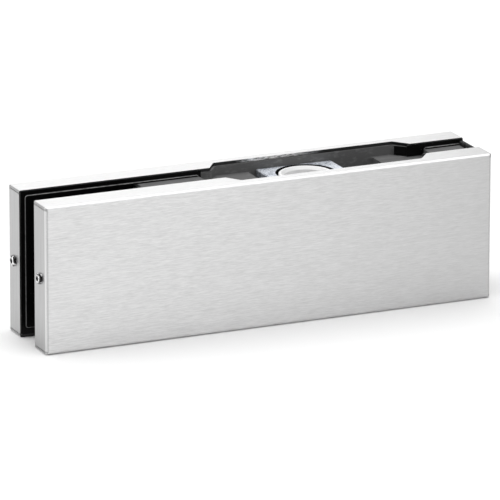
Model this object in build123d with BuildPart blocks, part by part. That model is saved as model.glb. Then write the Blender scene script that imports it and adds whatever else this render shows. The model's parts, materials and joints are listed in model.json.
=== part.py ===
"""Corner patch fitting for an all-glass pivot door, 164 x 51 mm, for 10 mm glass.

Two cast clamp plates grip the glass from either side, and a folded stainless cover hides each
plate. A core body fills the corner cut-out of the glass. It carries a steel pivot block, which
slides along the fitting and holds the plain bush that turns on a 15 mm door pivot.

Frame: X runs along the fitting, towards the pivot end. The front cover faces -Y. Z is up, the
pivot mouth opens upwards, and z = 0 is the lower edge of the covers. Millimetres.
"""

from build123d import *
import os

# ---- driving dimensions -------------------------------------------------------------------

LENGTH = 164.0  # cover, along X
HEIGHT = 51.0  # cover, along Z
DEPTH = 32.4  # over both covers, along Y
GLASS = 10.0  # glass thickness gripped at rest
PIVOT_SETBACK = 62.0  # pivot axis from the end of the fitting
PIN_DIAMETER = 15.0  # door pivot that the bush takes

# covers
SHEET = 1.0  # stainless sheet
FACE_BEND = 1.2  # outer radius round the face
CORNER_BEND = 0.5  # outer radius where the flanges meet
SEAM = 0.18  # open butt joint, upper and lower flanges over the end flanges
FLANGE_EDGE = 6.5  # free edge of the flanges, from the middle plane
NOTCH_MOUTH = (-12.8, 62.0)  # notch in the upper flanges, at their free edge
NOTCH_FLOOR = (-9.2, 57.6)  # and at its bottom
NOTCH_DEPTH = 5.2
NOTCH_CORNER = 1.2

# clamp plates
PLATE_GAP = 0.15  # plate to the inside of the cover
PLATE_CORNER = 1.5
RECESS_FLOOR = 46.6  # floor of the recess round the pivot
RECESS_WALL = 11.1  # recess and pocket walls, from the middle plane
RECESS_SHIFT = 0.5  # recess ends, inside the notch in the flange

# gaskets
GASKET_BASE = 0.65  # sheet that covers the free edge of the flanges
GASKET_INSET = 0.25  # its ends and upper edge, inside the cover's outline
GASKET_FOOT = 1.1  # its lower edge
PAD_INSET = 1.5  # raised pad, ends and upper edge inside the cover's outline
PAD_FOOT = 3.4  # its lower edge
PAD_END = 4.5  # pad ends, beyond the notch mouth
PAD_CORNER = 1.0
PAD_EDGE = 0.35  # rounding of the pad
PAD_RELIEF = 0.05  # step back of the pad beside the core body, so only the glass loads it
GASKET_TAIL = 1.0  # base sheet beyond the end of the left pad
LIP = 0.8  # gasket lip that lines the recess at the pivot end
LIP_REACH = 0.72  # its share of the slanted wall

# core body
CORE_LEFT = -40.0
CORE_RIGHT = 79.9
CORE_TOP = 48.9  # ledges beside the recess
LEDGE_HALF = 4.7
CORE_BOTTOM = 22.0
CORE_PLAY = 0.2  # core to the front clamp plate
POCKET = (3.3, 49.6)  # room for the pivot block, along X
POCKET_FLOOR = 25.5
POCKET_CORNER = 1.6
LINER = 1.5  # strip between the core body and the edge of the glass
LINER_HALF = 4.8
SPACER_RIGHT = 81.5
SPACER_TOP = 50.4

# pivot block
BLOCK_REACH = (-13.7, 14.2)  # block ends, from the pivot axis
BLOCK_HALF = 10.8
BLOCK_BOTTOM = 25.7
BLOCK_TOP = 47.3
BLOCK_EDGE = 0.35
BUSH_RADIUS = 9.4
BUSH_PLAY = 0.05  # radial, bush in block
BUSH_TOP = 47.2
BUSH_BOTTOM = 33.05
BUSH_LIP = 0.4  # rounding of the bush's rim
BUSH_LEAD_IN = 0.95  # chamfer at the mouth of the bore
BORE_PLAY = 0.05  # radial, pin in bush
BORE_DEPTH = 13.0
WASHER_BOTTOM = 32.0
WASHER_TOP = 33.0
WASHER_RADIUS = 9.3
GROOVE_RADIUS = 10.4
GROOVE_DEPTH = 3.0
SEAL_TOP = 45.6
SEAL_PLAY = 0.1

# fasteners
CLAMP_X = (-30.0, -8.0, 57.0, 71.0)
CLAMP_Z = 38.5
CLAMP_RADIUS = 3.0
CLAMP_HOLE = 3.3
CLAMP_HEAD_RADIUS = 5.0
CLAMP_HEAD_HEIGHT = 4.0
CLAMP_WASHER_RADIUS = 6.0
CLAMP_WASHER = 1.2
CLAMP_SEAT = 9.2  # washer seat, from the middle plane
CLAMP_TIP = 14.0
CLAMP_SOCKET = (2.5, 2.2)  # hexagon's inradius and depth
CLAMP_CHAMFER = 0.6  # at the tip
CLAMP_HEAD_EDGE = 0.4  # rounding of the head
HOLE_RELIEF = 1.0  # blind holes, deeper than what goes in
NUT_INRADIUS = 5.0
NUT_HEIGHT = 5.0
THREAD_PLAY = 0.05  # radial, screw in a smooth stand-in for its thread
DOWEL_PLACES = ((-36.0, 27.0), (64.0, 35.2))  # x, z
DOWEL_RADIUS = 2.0
DOWEL_END = 9.0
DOWEL_CHAMFER = 0.4
CORE_SCREW_PLACES = ((-19.0, 30.0), (64.0, 42.8))  # x, z
CORE_SCREW_RADIUS = 2.0
CORE_SCREW_HEAD_RADIUS = 3.6
CORE_SCREW_TIP = 12.5
CORE_SCREW_SOCKET = (1.25, 2.0)  # hexagon's inradius and depth
COVER_SCREW_Y = 11.3
COVER_SCREW_Z = 25.5
COVER_SCREW_RADIUS = 1.25
COVER_SCREW_HOLE = 1.45
COVER_SCREW_LENGTH = 10.0
COVER_HEAD_RADIUS = 1.95
COVER_HEAD_HEIGHT = 1.1
COVER_HEAD_ROUND = 0.8
COVER_SOCKET = (0.75, 0.8)  # hexagon's inradius and depth
SPACER_SCREW_Z = 44.0
SPACER_SCREW_RADIUS = 1.5
SPACER_SCREW_LENGTH = 8.0  # in the core body
SPACER_HEAD_RADIUS = 2.2
SPACER_HEAD_HEIGHT = 1.1
SPACER_SOCKET = (1.25, 1.8)  # hexagon's inradius and depth

# adjuster screw
ADJUSTER_Z = 29.4
ADJUSTER_RADIUS = 3.0
ADJUSTER_END = 68.0
ADJUSTER_NECK = (2.0, 2.4)  # radius, length
ADJUSTER_BUTTON = (2.8, 1.8)  # radius, length
ADJUSTER_SOCKET = (1.5, 4.0)  # hexagon's inradius and depth
KEY_HOLE = 3.6  # way in for the hexagon key
SLOT_PLAY = 0.15

# ---- derived ------------------------------------------------------------------------------

HALF_LENGTH = LENGTH / 2
HALF_DEPTH = DEPTH / 2
HALF_GLASS = GLASS / 2
PIVOT_X = HALF_LENGTH - PIVOT_SETBACK
BORE_RADIUS = PIN_DIAMETER / 2 + BORE_PLAY
FACE_INSIDE = HALF_DEPTH - SHEET
PLATE_OUTSIDE = FACE_INSIDE - PLATE_GAP
PLATE_HALF = HALF_LENGTH - SHEET - PLATE_GAP
PLATE_BOTTOM = SHEET + PLATE_GAP
PLATE_TOP = HEIGHT - PLATE_BOTTOM
PAD_BACK = FLANGE_EDGE - GASKET_BASE
BLOCK_LEFT = PIVOT_X + BLOCK_REACH[0]
BLOCK_RIGHT = PIVOT_X + BLOCK_REACH[1]
RECESS_MOUTH = (NOTCH_MOUTH[0] + RECESS_SHIFT, NOTCH_MOUTH[1] - RECESS_SHIFT)
RECESS_END = (NOTCH_FLOOR[0] + RECESS_SHIFT, NOTCH_FLOOR[1] - RECESS_SHIFT)
clamp_places = [(x, CLAMP_Z) for x in CLAMP_X]


# ---- helpers, used inside a part block ----------------------------------------------------

def slab(x, y, z, corner=0.0, mode=Mode.ADD):
    """A box from ranges in X, Y and Z, with its upright edges rounded."""
    with BuildSketch(Plane.XY.offset(z[0])) as outline:
        with Locations(((x[0] + x[1]) / 2, (y[0] + y[1]) / 2)):
            Rectangle(x[1] - x[0], y[1] - y[0])
        if corner:
            fillet(outline.vertices(), corner)
    extrude(outline.sketch, amount=z[1] - z[0], mode=mode)


def panel(x, z, y, corner=0.0, mode=Mode.ADD):
    """The same box, with the edges that run along Y rounded."""
    with BuildSketch(Plane.XZ.offset(-y[1])) as outline:
        with Locations(((x[0] + x[1]) / 2, (z[0] + z[1]) / 2)):
            Rectangle(x[1] - x[0], z[1] - z[0])
        if corner:
            fillet(outline.vertices(), corner)
    extrude(outline.sketch, amount=y[1] - y[0], mode=mode)


def rod_y(places, radius, y, mode=Mode.ADD):
    """Round bars along Y at the given x, z places."""
    with BuildSketch(Plane.XZ.offset(-y[1])) as section:
        with Locations(*places):
            Circle(radius)
    extrude(section.sketch, amount=y[1] - y[0], mode=mode)


def hexagon_y(places, inradius, y, mode=Mode.ADD):
    """Hexagonal bars along Y at the given x, z places."""
    with BuildSketch(Plane.XZ.offset(-y[1])) as section:
        with Locations(*places):
            RegularPolygon(inradius, 6, major_radius=False)
    extrude(section.sketch, amount=y[1] - y[0], mode=mode)


def rod_x(places, radius, x, mode=Mode.ADD):
    """Round bars along X at the given y, z places."""
    with BuildSketch(Plane.YZ.offset(x[0])) as section:
        with Locations(*places):
            Circle(radius)
    extrude(section.sketch, amount=x[1] - x[0], mode=mode)


def rod_z(radius, z, mode=Mode.ADD):
    """A round bar along the pivot axis."""
    with BuildSketch(Plane.XY.offset(z[0])) as section:
        with Locations((PIVOT_X, 0)):
            Circle(radius)
    extrude(section.sketch, amount=z[1] - z[0], mode=mode)


def countersink_y(places, radii, y, mode=Mode.ADD):
    """Cones along Y, from the first radius at the lower y to the second at the higher one."""
    for place in places:
        with BuildSketch(Plane.XZ.offset(-y[0])) as near_end:
            with Locations(place):
                Circle(radii[0])
        with BuildSketch(Plane.XZ.offset(-y[1])) as far_end:
            with Locations(place):
                Circle(radii[1])
        loft([near_end.sketch, far_end.sketch], mode=mode)


def notch(mouth, floor, near, far, z, corner, mode=Mode.SUBTRACT):
    """A tapered notch on the front side, open towards the middle plane."""
    run_out = mouth[0] - (floor[0] - mouth[0]) * near / far
    run_in = mouth[1] + (mouth[1] - floor[1]) * near / far
    with BuildSketch(Plane.XY.offset(z[0])) as outline:
        with BuildLine():
            Polyline(
                (run_out, 0),
                (mouth[0], -FLANGE_EDGE),
                (floor[0], -far),
                (floor[1], -far),
                (mouth[1], -FLANGE_EDGE),
                (run_in, 0),
                close=True,
            )
        make_face()
        fillet(outline.vertices().group_by(Axis.Y)[0], corner)
    extrude(outline.sketch, amount=z[1] - z[0], mode=mode)


def clamp_plate():
    """What the two clamp plates have in common, on the front side."""
    thickness = (-PLATE_OUTSIDE, -FLANGE_EDGE)
    panel((-PLATE_HALF, PLATE_HALF), (PLATE_BOTTOM, PLATE_TOP), thickness, PLATE_CORNER)
    notch(RECESS_MOUTH, RECESS_END, FLANGE_EDGE, RECESS_WALL, (RECESS_FLOOR, HEIGHT), NOTCH_CORNER)
    slab(POCKET, (-RECESS_WALL, 0), (POCKET_FLOOR, HEIGHT), POCKET_CORNER, Mode.SUBTRACT)
    rod_y(clamp_places, CLAMP_HOLE, (-HALF_DEPTH, 0), Mode.SUBTRACT)
    ends = [(-COVER_SCREW_Y, COVER_SCREW_Z)]
    thread = COVER_SCREW_RADIUS + THREAD_PLAY
    reach = HALF_LENGTH - COVER_SCREW_LENGTH - HOLE_RELIEF
    rod_x(ends, thread, (-HALF_LENGTH, -reach), Mode.SUBTRACT)
    rod_x(ends, thread, (reach, HALF_LENGTH), Mode.SUBTRACT)


def gasket_layers():
    """Base sheet and raised pad of the whole front gasket, before it is cut to pieces."""
    outline = HALF_LENGTH - GASKET_INSET
    upright = (GASKET_FOOT, HEIGHT - GASKET_INSET)
    panel((-outline, outline), upright, (-FLANGE_EDGE, -PAD_BACK), CORNER_BEND)
    for x in (
        (-HALF_LENGTH + PAD_INSET, NOTCH_MOUTH[0] - PAD_END),
        (NOTCH_MOUTH[1] + PAD_END, HALF_LENGTH - PAD_INSET),
    ):
        panel(x, (PAD_FOOT, HEIGHT - PAD_INSET), (-PAD_BACK, -HALF_GLASS), PAD_CORNER)
    panel(
        (-HALF_LENGTH + PAD_INSET, HALF_LENGTH - PAD_INSET),
        (PAD_FOOT, CORE_BOTTOM - LINER),
        (-PAD_BACK, -HALF_GLASS),
        PAD_CORNER,
    )


def rounded_pad(gasket):
    """Rounds the free edges of the raised pad."""
    fillet(gasket.faces().sort_by(Axis.Y)[-1].edges(), PAD_EDGE)


# ---- covers -------------------------------------------------------------------------------

with BuildPart() as front_cover:
    slab((-HALF_LENGTH, HALF_LENGTH), (-HALF_DEPTH, -FLANGE_EDGE), (0, HEIGHT))
    fillet(front_cover.edges().filter_by(Axis.Y), CORNER_BEND)
    fillet(front_cover.faces().sort_by(Axis.Y)[0].edges(), FACE_BEND)
    slab(
        (-HALF_LENGTH + SHEET, HALF_LENGTH - SHEET),
        (-FACE_INSIDE, 0),
        (SHEET, HEIGHT - SHEET),
        mode=Mode.SUBTRACT,
    )
    flange = (HEIGHT - 2 * SHEET, HEIGHT)
    notch_end = FLANGE_EDGE + NOTCH_DEPTH
    notch(NOTCH_MOUTH, NOTCH_FLOOR, FLANGE_EDGE, notch_end, flange, NOTCH_CORNER)
    holes = [(-COVER_SCREW_Y, COVER_SCREW_Z)]
    rod_x(holes, COVER_SCREW_HOLE, (-HALF_LENGTH, HALF_LENGTH), Mode.SUBTRACT)
    # open seams where the end flanges butt against the upper and lower ones
    for z in (SHEET, HEIGHT - SHEET):
        for x in ((-HALF_LENGTH, -HALF_LENGTH + 2 * SHEET), (HALF_LENGTH - 2 * SHEET, HALF_LENGTH)):
            slab(x, (-FACE_INSIDE, 0), (z - SEAM / 2, z + SEAM / 2), mode=Mode.SUBTRACT)
front_cover.part.label = "front_cover"

with BuildPart() as rear_cover:
    mirror(front_cover.part, about=Plane.XZ)
rear_cover.part.label = "rear_cover"

# ---- clamp plates -------------------------------------------------------------------------

with BuildPart() as front_clamp_plate:
    clamp_plate()
    washer_room = (-HALF_DEPTH, -CLAMP_SEAT)
    rod_y(clamp_places, CLAMP_WASHER_RADIUS + THREAD_PLAY, washer_room, Mode.SUBTRACT)
    dowel_hole = (-DOWEL_END - HOLE_RELIEF, 0)
    rod_y(DOWEL_PLACES, DOWEL_RADIUS + THREAD_PLAY, dowel_hole, Mode.SUBTRACT)
front_clamp_plate.part.label = "front_clamp_plate"

with BuildPart() as blank:
    clamp_plate()

with BuildPart() as rear_clamp_plate:
    mirror(blank.part, about=Plane.XZ)
    hexagon_y(clamp_places, NUT_INRADIUS, (CLAMP_SEAT, HALF_DEPTH), Mode.SUBTRACT)
    rod_y(DOWEL_PLACES, DOWEL_RADIUS, (0, DOWEL_END), Mode.SUBTRACT)
    rod_y(CORE_SCREW_PLACES, CORE_SCREW_RADIUS, (0, CORE_SCREW_TIP), Mode.SUBTRACT)
rear_clamp_plate.part.label = "rear_clamp_plate"

# ---- gaskets ------------------------------------------------------------------------------

upper_end = NOTCH_MOUTH[0] - PAD_END + GASKET_TAIL
strip_bottom = RECESS_FLOOR + CORE_PLAY
lip_root = (RECESS_MOUTH[1], -FLANGE_EDGE)
lip_tip = (
    RECESS_MOUTH[1] + (RECESS_END[1] - RECESS_MOUTH[1]) * LIP_REACH,
    -FLANGE_EDGE - (RECESS_WALL - FLANGE_EDGE) * LIP_REACH,
)

with BuildPart() as front_gasket_main:
    gasket_layers()
    rounded_pad(front_gasket_main)
    core_room = (CORE_BOTTOM - LINER, strip_bottom)
    panel((CORE_LEFT - LINER, HALF_LENGTH), core_room, (-HALF_DEPTH, 0), mode=Mode.SUBTRACT)
    panel((upper_end, HALF_LENGTH), (CORE_BOTTOM, HEIGHT), (-HALF_DEPTH, 0), mode=Mode.SUBTRACT)
    relief = (-HALF_GLASS - PAD_RELIEF, 0)
    panel((CORE_LEFT - LINER, upper_end), (CORE_BOTTOM, HEIGHT), relief, mode=Mode.SUBTRACT)
front_gasket_main.part.label = "front_gasket_main"

with BuildPart() as front_gasket_strip:
    gasket_layers()
    rounded_pad(front_gasket_strip)
    lip_back = RECESS_MOUTH[1] - LIP
    panel((-HALF_LENGTH, HALF_LENGTH), (0, strip_bottom), (-HALF_DEPTH, 0), mode=Mode.SUBTRACT)
    panel((-HALF_LENGTH, lip_back), (0, HEIGHT), (-HALF_DEPTH, 0), mode=Mode.SUBTRACT)
    with BuildSketch(Plane.XY.offset(strip_bottom)):
        with BuildLine():
            Polyline(
                lip_root,
                lip_tip,
                (lip_tip[0] - LIP, lip_tip[1]),
                (lip_root[0] - LIP, lip_root[1]),
                close=True,
            )
        make_face()
    extrude(amount=PLATE_TOP - strip_bottom)
front_gasket_strip.part.label = "front_gasket_strip"

with BuildPart() as rear_gasket_main:
    mirror(front_gasket_main.part, about=Plane.XZ)
rear_gasket_main.part.label = "rear_gasket_main"

with BuildPart() as rear_gasket_strip:
    mirror(front_gasket_strip.part, about=Plane.XZ)
rear_gasket_strip.part.label = "rear_gasket_strip"

# ---- core body and what is fixed to it ----------------------------------------------------

core_front = -(FLANGE_EDGE - CORE_PLAY)

with BuildPart() as core_body:
    panel((CORE_LEFT, CORE_RIGHT), (CORE_BOTTOM, RECESS_FLOOR), (core_front, FLANGE_EDGE))
    for ledge in ((CORE_LEFT, NOTCH_MOUTH[0] - PAD_END), (NOTCH_MOUTH[1] + PAD_END, CORE_RIGHT)):
        panel(ledge, (RECESS_FLOOR, CORE_TOP), (-LEDGE_HALF, LEDGE_HALF))
    slab(POCKET, (-HALF_DEPTH, HALF_DEPTH), (POCKET_FLOOR, HEIGHT), mode=Mode.SUBTRACT)
    rod_y(clamp_places, CLAMP_HOLE, (-HALF_DEPTH, HALF_DEPTH), Mode.SUBTRACT)
    rod_y(DOWEL_PLACES, DOWEL_RADIUS, (-HALF_DEPTH, HALF_DEPTH), Mode.SUBTRACT)
    rod_y(CORE_SCREW_PLACES, CORE_SCREW_RADIUS, (-HALF_DEPTH, HALF_DEPTH), Mode.SUBTRACT)
    countersink_y(
        CORE_SCREW_PLACES,
        (CORE_SCREW_HEAD_RADIUS, CORE_SCREW_RADIUS),
        (core_front, core_front + CORE_SCREW_HEAD_RADIUS - CORE_SCREW_RADIUS),
        Mode.SUBTRACT,
    )
    rod_x([(0, ADJUSTER_Z)], ADJUSTER_RADIUS + THREAD_PLAY, (POCKET[1], HALF_LENGTH), Mode.SUBTRACT)
    spacer_holes = [(0, SPACER_SCREW_Z)]
    spacer_thread = (CORE_RIGHT - SPACER_SCREW_LENGTH, HALF_LENGTH)
    rod_x(spacer_holes, SPACER_SCREW_RADIUS, spacer_thread, Mode.SUBTRACT)
core_body.part.label = "core_body"

liner_bottom = CORE_BOTTOM - LINER
liner_left = CORE_LEFT - LINER

with BuildPart() as glass_edge_liner:
    panel((liner_left, SPACER_RIGHT), (liner_bottom, CORE_BOTTOM), (-LINER_HALF, LINER_HALF))
    panel((liner_left, CORE_LEFT), (liner_bottom, CORE_TOP), (-LINER_HALF, LINER_HALF))
glass_edge_liner.part.label = "glass_edge_liner"

spacer_head_back = SPACER_RIGHT - SPACER_HEAD_HEIGHT

with BuildPart() as end_spacer:
    panel((CORE_RIGHT, SPACER_RIGHT), (CORE_BOTTOM, SPACER_TOP), (-LINER_HALF, LINER_HALF))
    fillet(end_spacer.edges().filter_by(Axis.Y).group_by(Axis.Z)[-1], CORNER_BEND)
    rod_x([(0, ADJUSTER_Z)], KEY_HOLE, (0, HALF_LENGTH), Mode.SUBTRACT)
    rod_x(spacer_holes, SPACER_SCREW_RADIUS, (0, HALF_LENGTH), Mode.SUBTRACT)
    rod_x(spacer_holes, SPACER_HEAD_RADIUS, (spacer_head_back, HALF_LENGTH), Mode.SUBTRACT)
end_spacer.part.label = "end_spacer"

with BuildPart() as end_spacer_screw:
    rod_x(spacer_holes, SPACER_SCREW_RADIUS, (CORE_RIGHT - SPACER_SCREW_LENGTH, spacer_head_back))
    rod_x(spacer_holes, SPACER_HEAD_RADIUS, (spacer_head_back, SPACER_RIGHT))
    with BuildSketch(Plane.YZ.offset(SPACER_RIGHT)):
        with Locations(*spacer_holes):
            RegularPolygon(SPACER_SOCKET[0], 6, major_radius=False)
    extrude(amount=-SPACER_SOCKET[1], mode=Mode.SUBTRACT)
end_spacer_screw.part.label = "end_spacer_screw"

with BuildPart() as core_screws:
    rod_y(CORE_SCREW_PLACES, CORE_SCREW_RADIUS, (core_front, CORE_SCREW_TIP))
    countersink_y(
        CORE_SCREW_PLACES,
        (CORE_SCREW_HEAD_RADIUS, CORE_SCREW_RADIUS),
        (core_front, core_front + CORE_SCREW_HEAD_RADIUS - CORE_SCREW_RADIUS),
    )
    core_socket = (core_front, core_front + CORE_SCREW_SOCKET[1])
    hexagon_y(CORE_SCREW_PLACES, CORE_SCREW_SOCKET[0], core_socket, Mode.SUBTRACT)
core_screws.part.label = "core_screws"

with BuildPart() as locating_dowels:
    rod_y(DOWEL_PLACES, DOWEL_RADIUS, (-DOWEL_END, DOWEL_END))
    chamfer(locating_dowels.edges().filter_by(GeomType.CIRCLE), DOWEL_CHAMFER)
locating_dowels.part.label = "locating_dowels"

# ---- clamp screws -------------------------------------------------------------------------

washer_face = -(CLAMP_SEAT + CLAMP_WASHER)
head_face = washer_face - CLAMP_HEAD_HEIGHT

with BuildPart() as clamp_screws:
    rod_y(clamp_places, CLAMP_RADIUS, (washer_face, CLAMP_TIP))
    chamfer(clamp_screws.edges().group_by(Axis.Y)[-1], CLAMP_CHAMFER)
    rod_y(clamp_places, CLAMP_HEAD_RADIUS, (head_face, washer_face))
    fillet(clamp_screws.edges().group_by(Axis.Y)[0], CLAMP_HEAD_EDGE)
    clamp_socket = (head_face, head_face + CLAMP_SOCKET[1])
    hexagon_y(clamp_places, CLAMP_SOCKET[0], clamp_socket, Mode.SUBTRACT)
clamp_screws.part.label = "clamp_screws"

with BuildPart() as clamp_washers:
    rod_y(clamp_places, CLAMP_WASHER_RADIUS, (washer_face, -CLAMP_SEAT))
    rod_y(clamp_places, CLAMP_HOLE, (washer_face, -CLAMP_SEAT), Mode.SUBTRACT)
clamp_washers.part.label = "clamp_washers"

with BuildPart() as clamp_nuts:
    hexagon_y(clamp_places, NUT_INRADIUS, (CLAMP_SEAT, CLAMP_SEAT + NUT_HEIGHT))
    rod_y(clamp_places, CLAMP_RADIUS + THREAD_PLAY, (0, HALF_DEPTH), Mode.SUBTRACT)
clamp_nuts.part.label = "clamp_nuts"

# ---- cover screws -------------------------------------------------------------------------

with BuildPart() as front_cover_screws:
    for side in (-1, 1):
        end_plane = Plane(origin=(side * HALF_LENGTH, 0, 0), x_dir=(0, side, 0), z_dir=(side, 0, 0))
        centre = (-side * COVER_SCREW_Y, COVER_SCREW_Z)
        with BuildSketch(end_plane.offset(-COVER_SCREW_LENGTH)):
            with Locations(centre):
                Circle(COVER_SCREW_RADIUS)
        extrude(amount=COVER_SCREW_LENGTH)
        with BuildSketch(end_plane):
            with Locations(centre):
                Circle(COVER_HEAD_RADIUS)
        extrude(amount=COVER_HEAD_HEIGHT)
        outer_rim = front_cover_screws.edges().filter_by(GeomType.CIRCLE).sort_by(Axis.X)
        fillet(outer_rim[-1] if side > 0 else outer_rim[0], COVER_HEAD_ROUND)
        with BuildSketch(end_plane.offset(COVER_HEAD_HEIGHT)):
            with Locations(centre):
                RegularPolygon(COVER_SOCKET[0], 6, major_radius=False)
        extrude(amount=-COVER_SOCKET[1], mode=Mode.SUBTRACT)
front_cover_screws.part.label = "front_cover_screws"

with BuildPart() as rear_cover_screws:
    mirror(front_cover_screws.part, about=Plane.XZ)
rear_cover_screws.part.label = "rear_cover_screws"

# ---- pivot block --------------------------------------------------------------------------

button_start = BLOCK_RIGHT - ADJUSTER_NECK[1]
button_end = button_start - ADJUSTER_BUTTON[1]

with BuildPart() as pivot_block:
    slab((BLOCK_LEFT, BLOCK_RIGHT), (-BLOCK_HALF, BLOCK_HALF), (BLOCK_BOTTOM, BLOCK_TOP))
    chamfer(pivot_block.edges().group_by(Axis.Z)[-1], BLOCK_EDGE)
    rod_z(BUSH_RADIUS + BUSH_PLAY, (WASHER_BOTTOM, BLOCK_TOP), Mode.SUBTRACT)
    rod_z(GROOVE_RADIUS, (BLOCK_TOP - GROOVE_DEPTH, BLOCK_TOP), Mode.SUBTRACT)
    # T-slot that holds the button of the adjuster screw, open downwards for assembly
    neck = ADJUSTER_NECK[0] + SLOT_PLAY
    button = ADJUSTER_BUTTON[0] + SLOT_PLAY
    slot_end = button_end - SLOT_PLAY
    button_room = button_start + SLOT_PLAY
    for half_width, x_range in (
        (neck, (button_room, BLOCK_RIGHT)),
        (button, (slot_end, button_room)),
    ):
        slab(x_range, (-half_width, half_width), (BLOCK_BOTTOM, ADJUSTER_Z), mode=Mode.SUBTRACT)
        rod_x([(0, ADJUSTER_Z)], half_width, x_range, Mode.SUBTRACT)
pivot_block.part.label = "pivot_block"

with BuildPart() as pivot_bush:
    rod_z(BUSH_RADIUS, (BUSH_BOTTOM, BUSH_TOP))
    fillet(pivot_bush.edges().group_by(Axis.Z)[-1], BUSH_LIP)
    rod_z(BORE_RADIUS, (BUSH_TOP - BORE_DEPTH, BUSH_TOP), Mode.SUBTRACT)
    circles = pivot_bush.edges().filter_by(GeomType.CIRCLE)
    chamfer(circles.group_by(Axis.Z)[-1].sort_by(SortBy.RADIUS)[0], BUSH_LEAD_IN)
pivot_bush.part.label = "pivot_bush"

with BuildPart() as dust_seal:
    rod_z(GROOVE_RADIUS, (BLOCK_TOP - GROOVE_DEPTH, SEAL_TOP))
    rod_z(BUSH_RADIUS + SEAL_PLAY, (BLOCK_TOP - GROOVE_DEPTH, SEAL_TOP), Mode.SUBTRACT)
dust_seal.part.label = "dust_seal"

with BuildPart() as thrust_washer:
    rod_z(WASHER_RADIUS, (WASHER_BOTTOM, WASHER_TOP))
thrust_washer.part.label = "thrust_washer"

with BuildPart() as adjuster_screw:
    axis_point = [(0, ADJUSTER_Z)]
    rod_x(axis_point, ADJUSTER_BUTTON[0], (button_end, button_start))
    rod_x(axis_point, ADJUSTER_NECK[0], (button_start, BLOCK_RIGHT + SLOT_PLAY))
    rod_x(axis_point, ADJUSTER_RADIUS, (BLOCK_RIGHT + SLOT_PLAY, ADJUSTER_END))
    with BuildSketch(Plane.YZ.offset(ADJUSTER_END)):
        with Locations(*axis_point):
            RegularPolygon(ADJUSTER_SOCKET[0], 6, major_radius=False)
    extrude(amount=-ADJUSTER_SOCKET[1], mode=Mode.SUBTRACT)
adjuster_screw.part.label = "adjuster_screw"

# ---- export -------------------------------------------------------------------------------

PIECES = (
    front_cover,
    rear_cover,
    front_clamp_plate,
    rear_clamp_plate,
    front_gasket_main,
    front_gasket_strip,
    rear_gasket_main,
    rear_gasket_strip,
    core_body,
    glass_edge_liner,
    end_spacer,
    end_spacer_screw,
    core_screws,
    locating_dowels,
    clamp_screws,
    clamp_washers,
    clamp_nuts,
    front_cover_screws,
    rear_cover_screws,
    pivot_block,
    pivot_bush,
    dust_seal,
    thrust_washer,
    adjuster_screw,
)

os.makedirs("parts", exist_ok=True)
for piece in PIECES:
    export_step(piece.part, f"parts/{piece.part.label}.step")
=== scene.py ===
"""Looks for the corner patch fitting: brushed covers, cast plates, rubber and plated steel."""

import json
import math

import bpy
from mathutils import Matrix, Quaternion, Vector

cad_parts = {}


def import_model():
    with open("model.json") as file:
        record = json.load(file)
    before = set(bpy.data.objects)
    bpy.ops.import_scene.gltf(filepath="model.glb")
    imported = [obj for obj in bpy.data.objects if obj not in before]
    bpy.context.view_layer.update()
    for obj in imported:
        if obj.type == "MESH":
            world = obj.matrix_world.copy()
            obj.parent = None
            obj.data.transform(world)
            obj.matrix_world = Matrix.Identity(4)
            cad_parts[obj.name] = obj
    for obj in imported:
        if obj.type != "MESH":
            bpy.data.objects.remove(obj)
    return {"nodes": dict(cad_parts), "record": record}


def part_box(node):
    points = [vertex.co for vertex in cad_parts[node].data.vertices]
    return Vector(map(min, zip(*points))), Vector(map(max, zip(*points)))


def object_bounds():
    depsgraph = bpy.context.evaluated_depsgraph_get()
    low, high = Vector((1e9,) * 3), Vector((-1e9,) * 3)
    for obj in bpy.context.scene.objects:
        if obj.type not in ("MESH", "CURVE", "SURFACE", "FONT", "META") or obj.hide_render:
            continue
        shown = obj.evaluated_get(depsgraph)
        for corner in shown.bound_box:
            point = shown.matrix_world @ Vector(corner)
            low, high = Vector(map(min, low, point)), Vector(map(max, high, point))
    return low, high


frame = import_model()
cad_low, cad_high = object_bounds()


# ---- node helpers -------------------------------------------------------------------------

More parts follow.
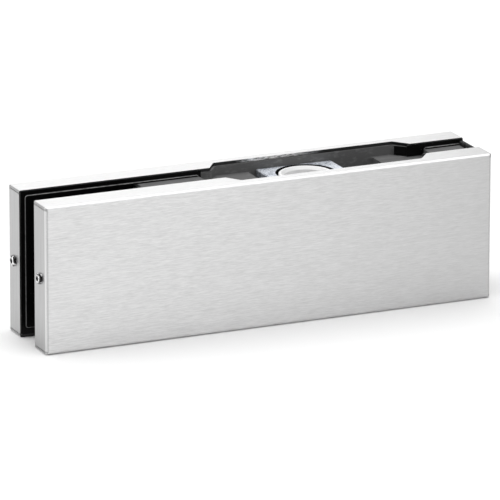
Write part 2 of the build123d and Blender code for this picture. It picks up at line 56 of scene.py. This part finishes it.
class Shader:
    """A material's node tree with short ways to add and join nodes."""

    def __init__(self, name):
        self.material = bpy.data.materials.new(name)
        self.material.use_nodes = True
        self.tree = self.material.node_tree
        self.surface = self.tree.nodes["Principled BSDF"]

    def node(self, kind, **settings):
        made = self.tree.nodes.new(kind)
        for key, value in settings.items():
            setattr(made, key, value)
        return made

    def join(self, source, target):
        self.tree.links.new(source, target)

    def fill(self, socket, value):
        """Joins an output to a socket, or sets the socket to a plain value."""
        if isinstance(value, bpy.types.NodeSocket):
            self.join(value, socket)
        elif value is not None:
            socket.default_value = value

    def math(self, operation, first, second=None, third=None, clamp=False):
        made = self.node("ShaderNodeMath", operation=operation, use_clamp=clamp)
        for socket, value in zip(made.inputs, (first, second, third)):
            self.fill(socket, value)
        return made.outputs[0]

    def position(self):
        return self.node("ShaderNodeTexCoord").outputs["Object"]

    def along(self, axis):
        """Position along one axis of the shared frame."""
        split = self.node("ShaderNodeSeparateXYZ")
        self.join(self.position(), split.inputs[0])
        return split.outputs["XYZ".index(axis)]

    def radius(self, first, second, centre):
        """Distance from a line along the third axis, through the centre."""
        out = self.math("SUBTRACT", self.along(first), centre["XYZ".index(first)])
        up = self.math("SUBTRACT", self.along(second), centre["XYZ".index(second)])
        squares = self.math("MULTIPLY_ADD", out, out, self.math("MULTIPLY", up, up))
        return self.math("SQRT", squares)

    def normal_axis(self, axis):
        """Size of the face normal along one axis, 0 to 1."""
        split = self.node("ShaderNodeSeparateXYZ")
        self.join(self.node("ShaderNodeNewGeometry").outputs["True Normal"], split.inputs[0])
        return self.math("ABSOLUTE", split.outputs["XYZ".index(axis)])

    def noise(self, scale, detail=2.0, roughness=0.5, where=None):
        """Noise whose cells are 1/scale metres across; scale may differ along X, Y and Z."""
        mapping = self.node("ShaderNodeMapping")
        self.join(where or self.position(), mapping.inputs["Vector"])
        mapping.inputs["Scale"].default_value = scale if isinstance(scale, tuple) else (scale,) * 3
        made = self.node("ShaderNodeTexNoise", noise_dimensions="3D")
        made.inputs["Scale"].default_value = 1.0
        made.inputs["Detail"].default_value = detail
        made.inputs["Roughness"].default_value = roughness
        self.join(mapping.outputs[0], made.inputs["Vector"])
        return made.outputs["Fac"]

    def remap(self, value, low, high, to_low=0.0, to_high=1.0):
        made = self.node("ShaderNodeMapRange")
        for socket, amount in zip(made.inputs, (value, low, high, to_low, to_high)):
            self.fill(socket, amount)
        return made.outputs[0]

    def mix(self, factor, first, second):
        """Blends two numbers."""
        made = self.node("ShaderNodeMix", data_type="FLOAT")
        for index, value in zip((0, 2, 3), (factor, first, second)):
            self.fill(made.inputs[index], value)
        return made.outputs[0]

    def tint(self, factor, first, second):
        """Blends two colours."""
        made = self.node("ShaderNodeMix", data_type="RGBA")
        for index, value in zip((0, 6, 7), (factor, first, second)):
            self.fill(made.inputs[index], value)
        return made.outputs[2]

    def bump(self, height, distance, strength=1.0):
        made = self.node("ShaderNodeBump")
        made.inputs["Strength"].default_value = strength
        made.inputs["Distance"].default_value = distance
        self.join(height, made.inputs["Height"])
        self.join(made.outputs[0], self.surface.inputs["Normal"])

    def set(self, **values):
        """Sets shader sockets: base_color=..., roughness=... and so on."""
        names = {"specular_ior_level": "Specular IOR Level"}
        for key, value in values.items():
            name = names.get(key, key.replace("_", " ").title())
            self.fill(self.surface.inputs[name], value)


def grey(value, warm=0.0):
    return (value * (1 + warm), value, value * (1 - warm), 1.0)


# ---- materials ----------------------------------------------------------------------------

SEAM_DEPTH = 0.001  # seams of the covers, from their upper and lower edges
SEAM_REACH = (0.0004, 0.0002)  # painted seam shade fades out and is full at these distances from a seam
NOTCH_REACH = 0.013  # cut edges of the notch lie nearer the middle plane than this
REFLECTION_START = (-0.001, 0.004)  # along X: where the painted reflection on the cut edge fades in
REFLECTION_END = (0.031, 0.017)  # and out
PAD_BACK = 0.0059  # back of the gasket pads, from the middle plane
GROOVE_RADIUS = 0.0106  # groove round the bush, with a little over
BUSH_RIM = 0.0084  # inner edge of the bush's flat rim
SOCKET_RADIUS = 0.0009  # of the cover screws
HEAD_SHOULDER = 0.0016  # of the cover screws, where the painted shade round the head begins


def middle_of(node):
    """Middle of a CAD node's box."""
    low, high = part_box(node)
    return (low + high) / 2


def brushed_stainless():
    """Sheet brushed along X, its end flanges brushed upright, with painted shade on the end
    flanges, towards the pivot end, in the seams and on the notch edges, and painted highlights on
    the bends and notch edges.
    """
    s = Shader("brushed_stainless")
    where = s.position()
    x, y, z = s.along("X"), s.along("Y"), s.along("Z")
    facing_x = s.normal_axis("X")
    facing_y = s.normal_axis("Y")
    on_end = s.math("GREATER_THAN", facing_x, 0.7)

    # grain: short strokes over long ones, with a few deeper scratches
    strokes = s.noise((330.0, 3000.0, 3000.0), 3.0, 0.6, where)
    long_strokes = s.noise((110.0, 4200.0, 4200.0), 2.0, 0.5, where)
    upright = s.noise((2600.0, 2600.0, 45.0), 3.0, 0.6, where)
    grain = s.mix(on_end, s.mix(0.35, strokes, long_strokes), upright)
    broad = s.noise((18.0, 120.0, 120.0), 2.0, 0.5, where)
    scratch = s.remap(s.noise((140.0, 3200.0, 3200.0), 1.0, 0.5, where), 0.68, 0.78, 0.0, 0.2)
    contrast = s.mix(on_end, 1.8, 2.8)
    shade = s.math("MULTIPLY_ADD", s.math("SUBTRACT", grain, 0.5), contrast, 0.5)
    shade = s.math("MULTIPLY_ADD", s.math("SUBTRACT", broad, 0.5), 0.12, shade)
    shade = s.math("SUBTRACT", shade, scratch)
    brushed = s.tint(shade, grey(0.53), grey(0.81))
    # painted shade: the end flanges are painted darker, standing in for the dimmer light that falls
    # on them
    brushed = s.tint(s.math("MULTIPLY", on_end, 0.62), brushed, grey(0.34))

    # painted shade: the broad faces are painted darker towards the pivot end, standing in for light
    # falling off there
    pivot_end_shade = s.math("POWER", s.remap(x, cad_low.x, cad_high.x, 0.0, 1.0), 2.0)
    pivot_end_shade = s.math("MULTIPLY", pivot_end_shade, 0.5)
    pivot_end_shade = s.math("MULTIPLY", pivot_end_shade, s.math("GREATER_THAN", facing_y, 0.9))
    brushed = s.tint(pivot_end_shade, brushed, grey(0.36))

    # upright bends: painted highlight on the side of the end flange, painted shade on the side of
    # the face
    on_bend = s.math("MULTIPLY", facing_x, facing_y)
    bend_highlight = s.math("MULTIPLY", s.remap(on_bend, 0.15, 0.35), s.remap(facing_x, 0.68, 0.82))
    brushed = s.tint(bend_highlight, brushed, grey(0.72))
    bend_shade = s.math("MULTIPLY", s.remap(on_bend, 0.10, 0.30), s.remap(facing_x, 0.65, 0.45))
    brushed = s.tint(s.math("MULTIPLY", bend_shade, 0.5), brushed, grey(0.36))

    # painted shade in the seams where the end flanges meet the upper and lower ones
    middle = cad_low.z / 2 + cad_high.z / 2
    height = s.math("ABSOLUTE", s.math("SUBTRACT", z, middle))
    to_edge = s.math("SUBTRACT", cad_high.z - middle, height)
    off_seam = s.math("ABSOLUTE", s.math("SUBTRACT", to_edge, SEAM_DEPTH))
    seam = s.remap(off_seam, *SEAM_REACH)
    patchy = s.remap(s.noise(900.0, 2.0, 0.6, where), 0.35, 0.55, 0.35, 1.0)
    upright_face = s.math("GREATER_THAN", facing_x, 0.3)
    seam = s.math("MULTIPLY", s.math("MULTIPLY", seam, patchy), upright_face)
    brushed = s.tint(s.math("MULTIPLY", seam, 0.6), brushed, grey(0.2))

    # cut edge of the sheet in the notch: painted near black as painted shade, with a stretch of
    # painted reflection
    depth = s.math("ABSOLUTE", y)
    in_notch = s.math("LESS_THAN", depth, NOTCH_REACH)
    in_notch = s.math("MULTIPLY", s.math("GREATER_THAN", facing_y, 0.3), in_notch)
    notch_reflection = s.math("MULTIPLY", s.remap(x, *REFLECTION_START), s.remap(x, *REFLECTION_END))
    streaks = s.noise((500.0, 1.0, 2500.0), 3.0, 0.6, where)
    notch_reflection = s.math("MULTIPLY", notch_reflection, s.remap(streaks, 0.35, 0.6))
    edge = s.tint(notch_reflection, grey(0.06), grey(0.9))

    s.set(
        base_color=s.tint(in_notch, brushed, edge),
        metallic=1.0,
        roughness=s.math("MULTIPLY_ADD", grain, 0.14, 0.25),
        anisotropic=0.75,
    )
    # highlights spread across the grain
    grain_way = s.node("ShaderNodeCombineXYZ")
    s.join(s.math("SUBTRACT", 1.0, on_end), grain_way.inputs[0])
    s.join(on_end, grain_way.inputs[2])
    across = s.node("ShaderNodeVectorMath", operation="CROSS_PRODUCT")
    s.join(s.node("ShaderNodeNewGeometry").outputs["True Normal"], across.inputs[0])
    s.join(grain_way.outputs[0], across.inputs[1])
    s.join(across.outputs[0], s.surface.inputs["Tangent"])
    s.bump(grain, 0.00001, 0.35)
    return s.material


def dark_casting():
    """Dark phosphated casting with pale rubbed smears."""
    s = Shader("dark_casting")
    fine = s.noise(2600.0, 3.0, 0.6)
    smear = s.remap(s.noise((260.0, 260.0, 600.0), 3.0, 0.6), 0.52, 0.72)
    s.set(
        base_color=s.tint(s.math("MULTIPLY", smear, fine), grey(0.125), grey(0.28)),
        roughness=s.math("MULTIPLY_ADD", fine, 0.2, 0.5),
        specular_ior_level=0.25,
    )
    s.bump(fine, 0.00005, 0.6)
    return s.material


def grey_casting():
    """Lighter casting with a cloudy tone."""
    s = Shader("grey_casting")
    fine = s.noise(2600.0, 3.0, 0.6)
    broad = s.noise(120.0, 3.0, 0.5)
    s.set(
        base_color=s.tint(broad, grey(0.07), grey(0.16)),
        roughness=s.math("MULTIPLY_ADD", fine, 0.2, 0.5),
        specular_ior_level=0.25,
    )
    s.bump(fine, 0.00005, 0.5)
    return s.material


def black_rubber():
    """Black rubber with a slight gloss, painted highlights on the pad edges, stronger where they
    face up, and a few specks of dust.
    """
    s = Shader("black_rubber")
    fine = s.noise(2600.0, 3.0, 0.6)
    facing_y = s.normal_axis("Y")
    # painted highlight on the rounded pad edges, stronger where they face up
    edge = s.math("MULTIPLY", s.remap(facing_y, 0.30, 0.50), s.remap(facing_y, 0.97, 0.85))
    edge = s.math("MULTIPLY", edge, s.remap(s.noise(420.0, 3.0, 0.6), 0.30, 0.55, 0.3, 1.0))
    edge = s.math("MULTIPLY", edge, s.math("LESS_THAN", s.math("ABSOLUTE", s.along("Y")), PAD_BACK))
    edge = s.math("MULTIPLY", edge, s.remap(s.normal_axis("Z"), 0.2, 0.6, 0.45, 1.0))
    dust = s.remap(s.noise(1300.0, 3.0, 0.7), 0.70, 0.76, 0.0, 0.6)
    s.set(
        base_color=s.tint(s.math("MAXIMUM", dust, edge), grey(0.0025), grey(0.30)),
        roughness=s.math("MULTIPLY_ADD", fine, 0.16, 0.22),
        specular_ior_level=0.15,
    )
    s.bump(fine, 0.00002, 0.5)
    return s.material


def dark_polymer():
    """Nearly black plastic, speckled."""
    s = Shader("dark_polymer")
    fine = s.noise(1800.0, 2.0, 0.6)
    s.set(
        base_color=s.tint(s.remap(s.noise(700.0), 0.35, 0.65), grey(0.006), grey(0.035)),
        roughness=s.math("MULTIPLY_ADD", fine, 0.15, 0.6),
        specular_ior_level=0.15,
    )
    s.bump(fine, 0.00003, 0.5)
    return s.material


def zinc_plated_steel():
    """Bluish zinc over blasted steel: bright and dark speckles, and painted shade on the upright
    walls of the groove round the bush.
    """
    s = Shader("zinc_plated_steel")
    speckle = s.noise(1500.0, 3.0, 0.7)
    cloud = s.noise(260.0, 3.0, 0.6)
    shade = s.math("ADD", s.math("MULTIPLY", speckle, 0.6), s.math("MULTIPLY", cloud, 0.4))
    zinc = s.tint(s.remap(shade, 0.38, 0.54), (0.17, 0.20, 0.25, 1), (0.80, 0.83, 0.88, 1))
    upright = s.math("LESS_THAN", s.normal_axis("Z"), 0.5)
    # painted shade: the upright walls of the groove round the bush are painted near black
    in_groove = s.math("LESS_THAN", s.radius("X", "Y", middle_of("pivot_bush")), GROOVE_RADIUS)
    s.set(
        base_color=s.tint(s.math("MULTIPLY", upright, in_groove), zinc, grey(0.015)),
        metallic=1.0,
        roughness=s.math("MULTIPLY_ADD", speckle, 0.25, 0.45),
    )
    s.bump(speckle, 0.00012, 0.7)
    return s.material


def plated_steel():
    """Plain plated fasteners."""
    s = Shader("plated_steel")
    speckle = s.noise(1800.0, 3.0, 0.6)
    s.set(
        base_color=s.tint(speckle, (0.40, 0.42, 0.45, 1), (0.66, 0.67, 0.69, 1)),
        metallic=1.0,
        roughness=s.math("MULTIPLY_ADD", speckle, 0.2, 0.25),
    )
    s.bump(speckle, 0.00002, 0.4)
    return s.material


def bright_screw():
    """Polished heads with painted shade in the socket and, in patches, round the shoulder."""
    s = Shader("bright_screw")
    wear = s.noise(2500.0, 3.0, 0.6)
    # both halves' screws lie at the same distance from the middle plane
    axis = middle_of("front_cover_screws")
    out = s.math("ADD", s.math("ABSOLUTE", s.along("Y")), axis.y)
    up = s.math("SUBTRACT", s.along("Z"), axis.z)
    radius = s.math("SQRT", s.math("MULTIPLY_ADD", out, out, s.math("MULTIPLY", up, up)))
    # painted shade: the socket and the rim round the head are painted near black
    socket = s.math("LESS_THAN", radius, SOCKET_RADIUS)
    shoulder = s.math("GREATER_THAN", radius, HEAD_SHOULDER)
    patches = s.remap(s.noise(1100.0, 2.0, 0.6), 0.42, 0.52)
    head_shade = s.math("MAXIMUM", socket, s.math("MULTIPLY", shoulder, patches))
    s.set(
        base_color=s.tint(head_shade, s.tint(patches, grey(0.85), grey(0.45)), grey(0.03)),
        metallic=1.0,
        roughness=s.math("MULTIPLY_ADD", wear, 0.12, 0.06),
    )
    s.bump(wear, 0.00004, 0.5)
    return s.material


def white_acetal():
    """White bush: rim painted brighter than the mouth and bore, a painted highlight."""
    s = Shader("white_acetal")
    cloud = s.noise(220.0, 2.0, 0.5)
    # painted highlight: the flat rim is painted brighter than the mouth and bore
    on_rim = s.math("GREATER_THAN", s.radius("X", "Y", middle_of("pivot_bush")), BUSH_RIM)
    s.set(
        base_color=s.tint(on_rim, s.tint(cloud, grey(0.79), grey(0.85)), grey(0.92)),
        roughness=s.math("MULTIPLY_ADD", cloud, 0.1, 0.28),
        subsurface_weight=0.15,
    )
    s.surface.inputs["Subsurface Radius"].default_value = (0.001, 0.001, 0.001)
    s.surface.inputs["Subsurface Scale"].default_value = 0.5
    s.bump(s.noise(1500.0, 2.0), 0.00002, 0.2)
    return s.material


def bronze():
    """Bearing bronze of the thrust washer."""
    s = Shader("bronze")
    rings = s.noise(1500.0, 2.0, 0.5)
    s.set(
        base_color=s.tint(rings, (0.45, 0.28, 0.12, 1), (0.7, 0.48, 0.24, 1)),
        metallic=1.0,
        roughness=0.35,
    )
    return s.material


FINISHES = {
    "brushed_stainless": brushed_stainless,
    "dark_casting": dark_casting,
    "grey_casting": grey_casting,
    "black_rubber": black_rubber,
    "dark_polymer": dark_polymer,
    "zinc_plated_steel": zinc_plated_steel,
    "plated_steel": plated_steel,
    "bright_screw": bright_screw,
    "white_acetal": white_acetal,
    "bronze": bronze,
}


def finish_cad_nodes():
    """Gives every CAD node the material that the record names for it."""
    materials = {slot: make() for slot, make in FINISHES.items()}
    for subpart in frame["record"]["subparts"]:
        obj = frame["nodes"][subpart["node"]]
        for slot in obj.material_slots:
            slot.material = materials[subpart["material_slot"]]


# ---- studio -------------------------------------------------------------------------------

FLOOR_SIZE = 12.0
FLOOR_DROP = 0.00005  # keeps the floor clear of the covers' lower edges
WORLD_STRENGTH = 0.32


def floor():
    """Plain pale floor, just below the lowest edges."""
    bpy.ops.mesh.primitive_plane_add(size=FLOOR_SIZE, location=(0, 0, -FLOOR_DROP))
    plane = bpy.context.object
    plane.name = "floor"
    s = Shader("floor")
    s.set(base_color=grey(0.95), roughness=0.85, specular_ior_level=0.1)
    plane.data.materials.append(s.material)


def world():
    """Even, fairly dim light all round; the soft boxes do the rest."""
    made = bpy.data.worlds.new("studio")
    bpy.context.scene.world = made
    made.use_nodes = True
    background = made.node_tree.nodes["Background"]
    background.inputs["Color"].default_value = (1, 1, 1, 1)
    background.inputs["Strength"].default_value = WORLD_STRENGTH


def soft_box(name, place, aim, size, brightness):
    """A flat white panel that glows evenly; brightness 1.0 shows as white."""
    data = bpy.data.lights.new(name, "AREA")
    data.shape = "RECTANGLE"
    data.size, data.size_y = size
    data.energy = brightness * math.pi * size[0] * size[1]
    light = bpy.data.objects.new(name, data)
    light.location = place
    light.rotation_mode = "QUATERNION"
    light.rotation_quaternion = (Vector(aim) - Vector(place)).to_track_quat("-Z", "Y")
    light.visible_camera = False
    bpy.context.scene.collection.objects.link(light)


def lights():
    """Soft boxes: name, place, aim, size, brightness."""
    soft_box("overhead", (0.0, 0.05, 1.3), (0, 0, 0), (1.8, 2.0), 1.8)
    soft_box("left", (-1.3, 0.45, 0.5), (0, 0, 0), (0.9, 1.0), 1.9)
    soft_box("behind", (0.22, 2.0, 0.75), (0.22, 0, 0.1), (1.8, 1.3), 1.25)
    soft_box("front", (0.35, -0.85, 0.42), (0, 0, 0.03), (1.0, 0.8), 0.8)


# ---- camera -------------------------------------------------------------------------------

AZIMUTH = math.radians(-24.32)
ELEVATION = math.radians(16.40)
DISTANCE = 2.174
LENS = 464.0
SENSOR = 36.0
CLIP = (0.1, 100.0)
AIM_OFFSET = Vector((-0.00073, 0.0, -0.00301))  # from the middle of the fitting
ROLL = 0.002


def camera():
    """Long lens, from the front, towards the open end and a little above."""
    centre = (cad_low + cad_high) / 2
    back = Vector((
        math.sin(AZIMUTH) * math.cos(ELEVATION),
        -math.cos(AZIMUTH) * math.cos(ELEVATION),
        math.sin(ELEVATION),
    ))
    data = bpy.data.cameras.new("camera")
    data.sensor_width = SENSOR
    data.lens = LENS
    data.clip_start, data.clip_end = CLIP
    made = bpy.data.objects.new("camera", data)
    bpy.context.scene.collection.objects.link(made)
    made.location = centre + back * DISTANCE
    aim = centre + AIM_OFFSET
    made.rotation_mode = "QUATERNION"
    straight = (aim - made.location).to_track_quat("-Z", "Y")
    made.rotation_quaternion = straight @ Quaternion((0, 0, 1), ROLL)
    bpy.context.scene.camera = made


finish_cad_nodes()
floor()
world()
lights()
camera()
bpy.context.scene.view_settings.view_transform = "Standard"
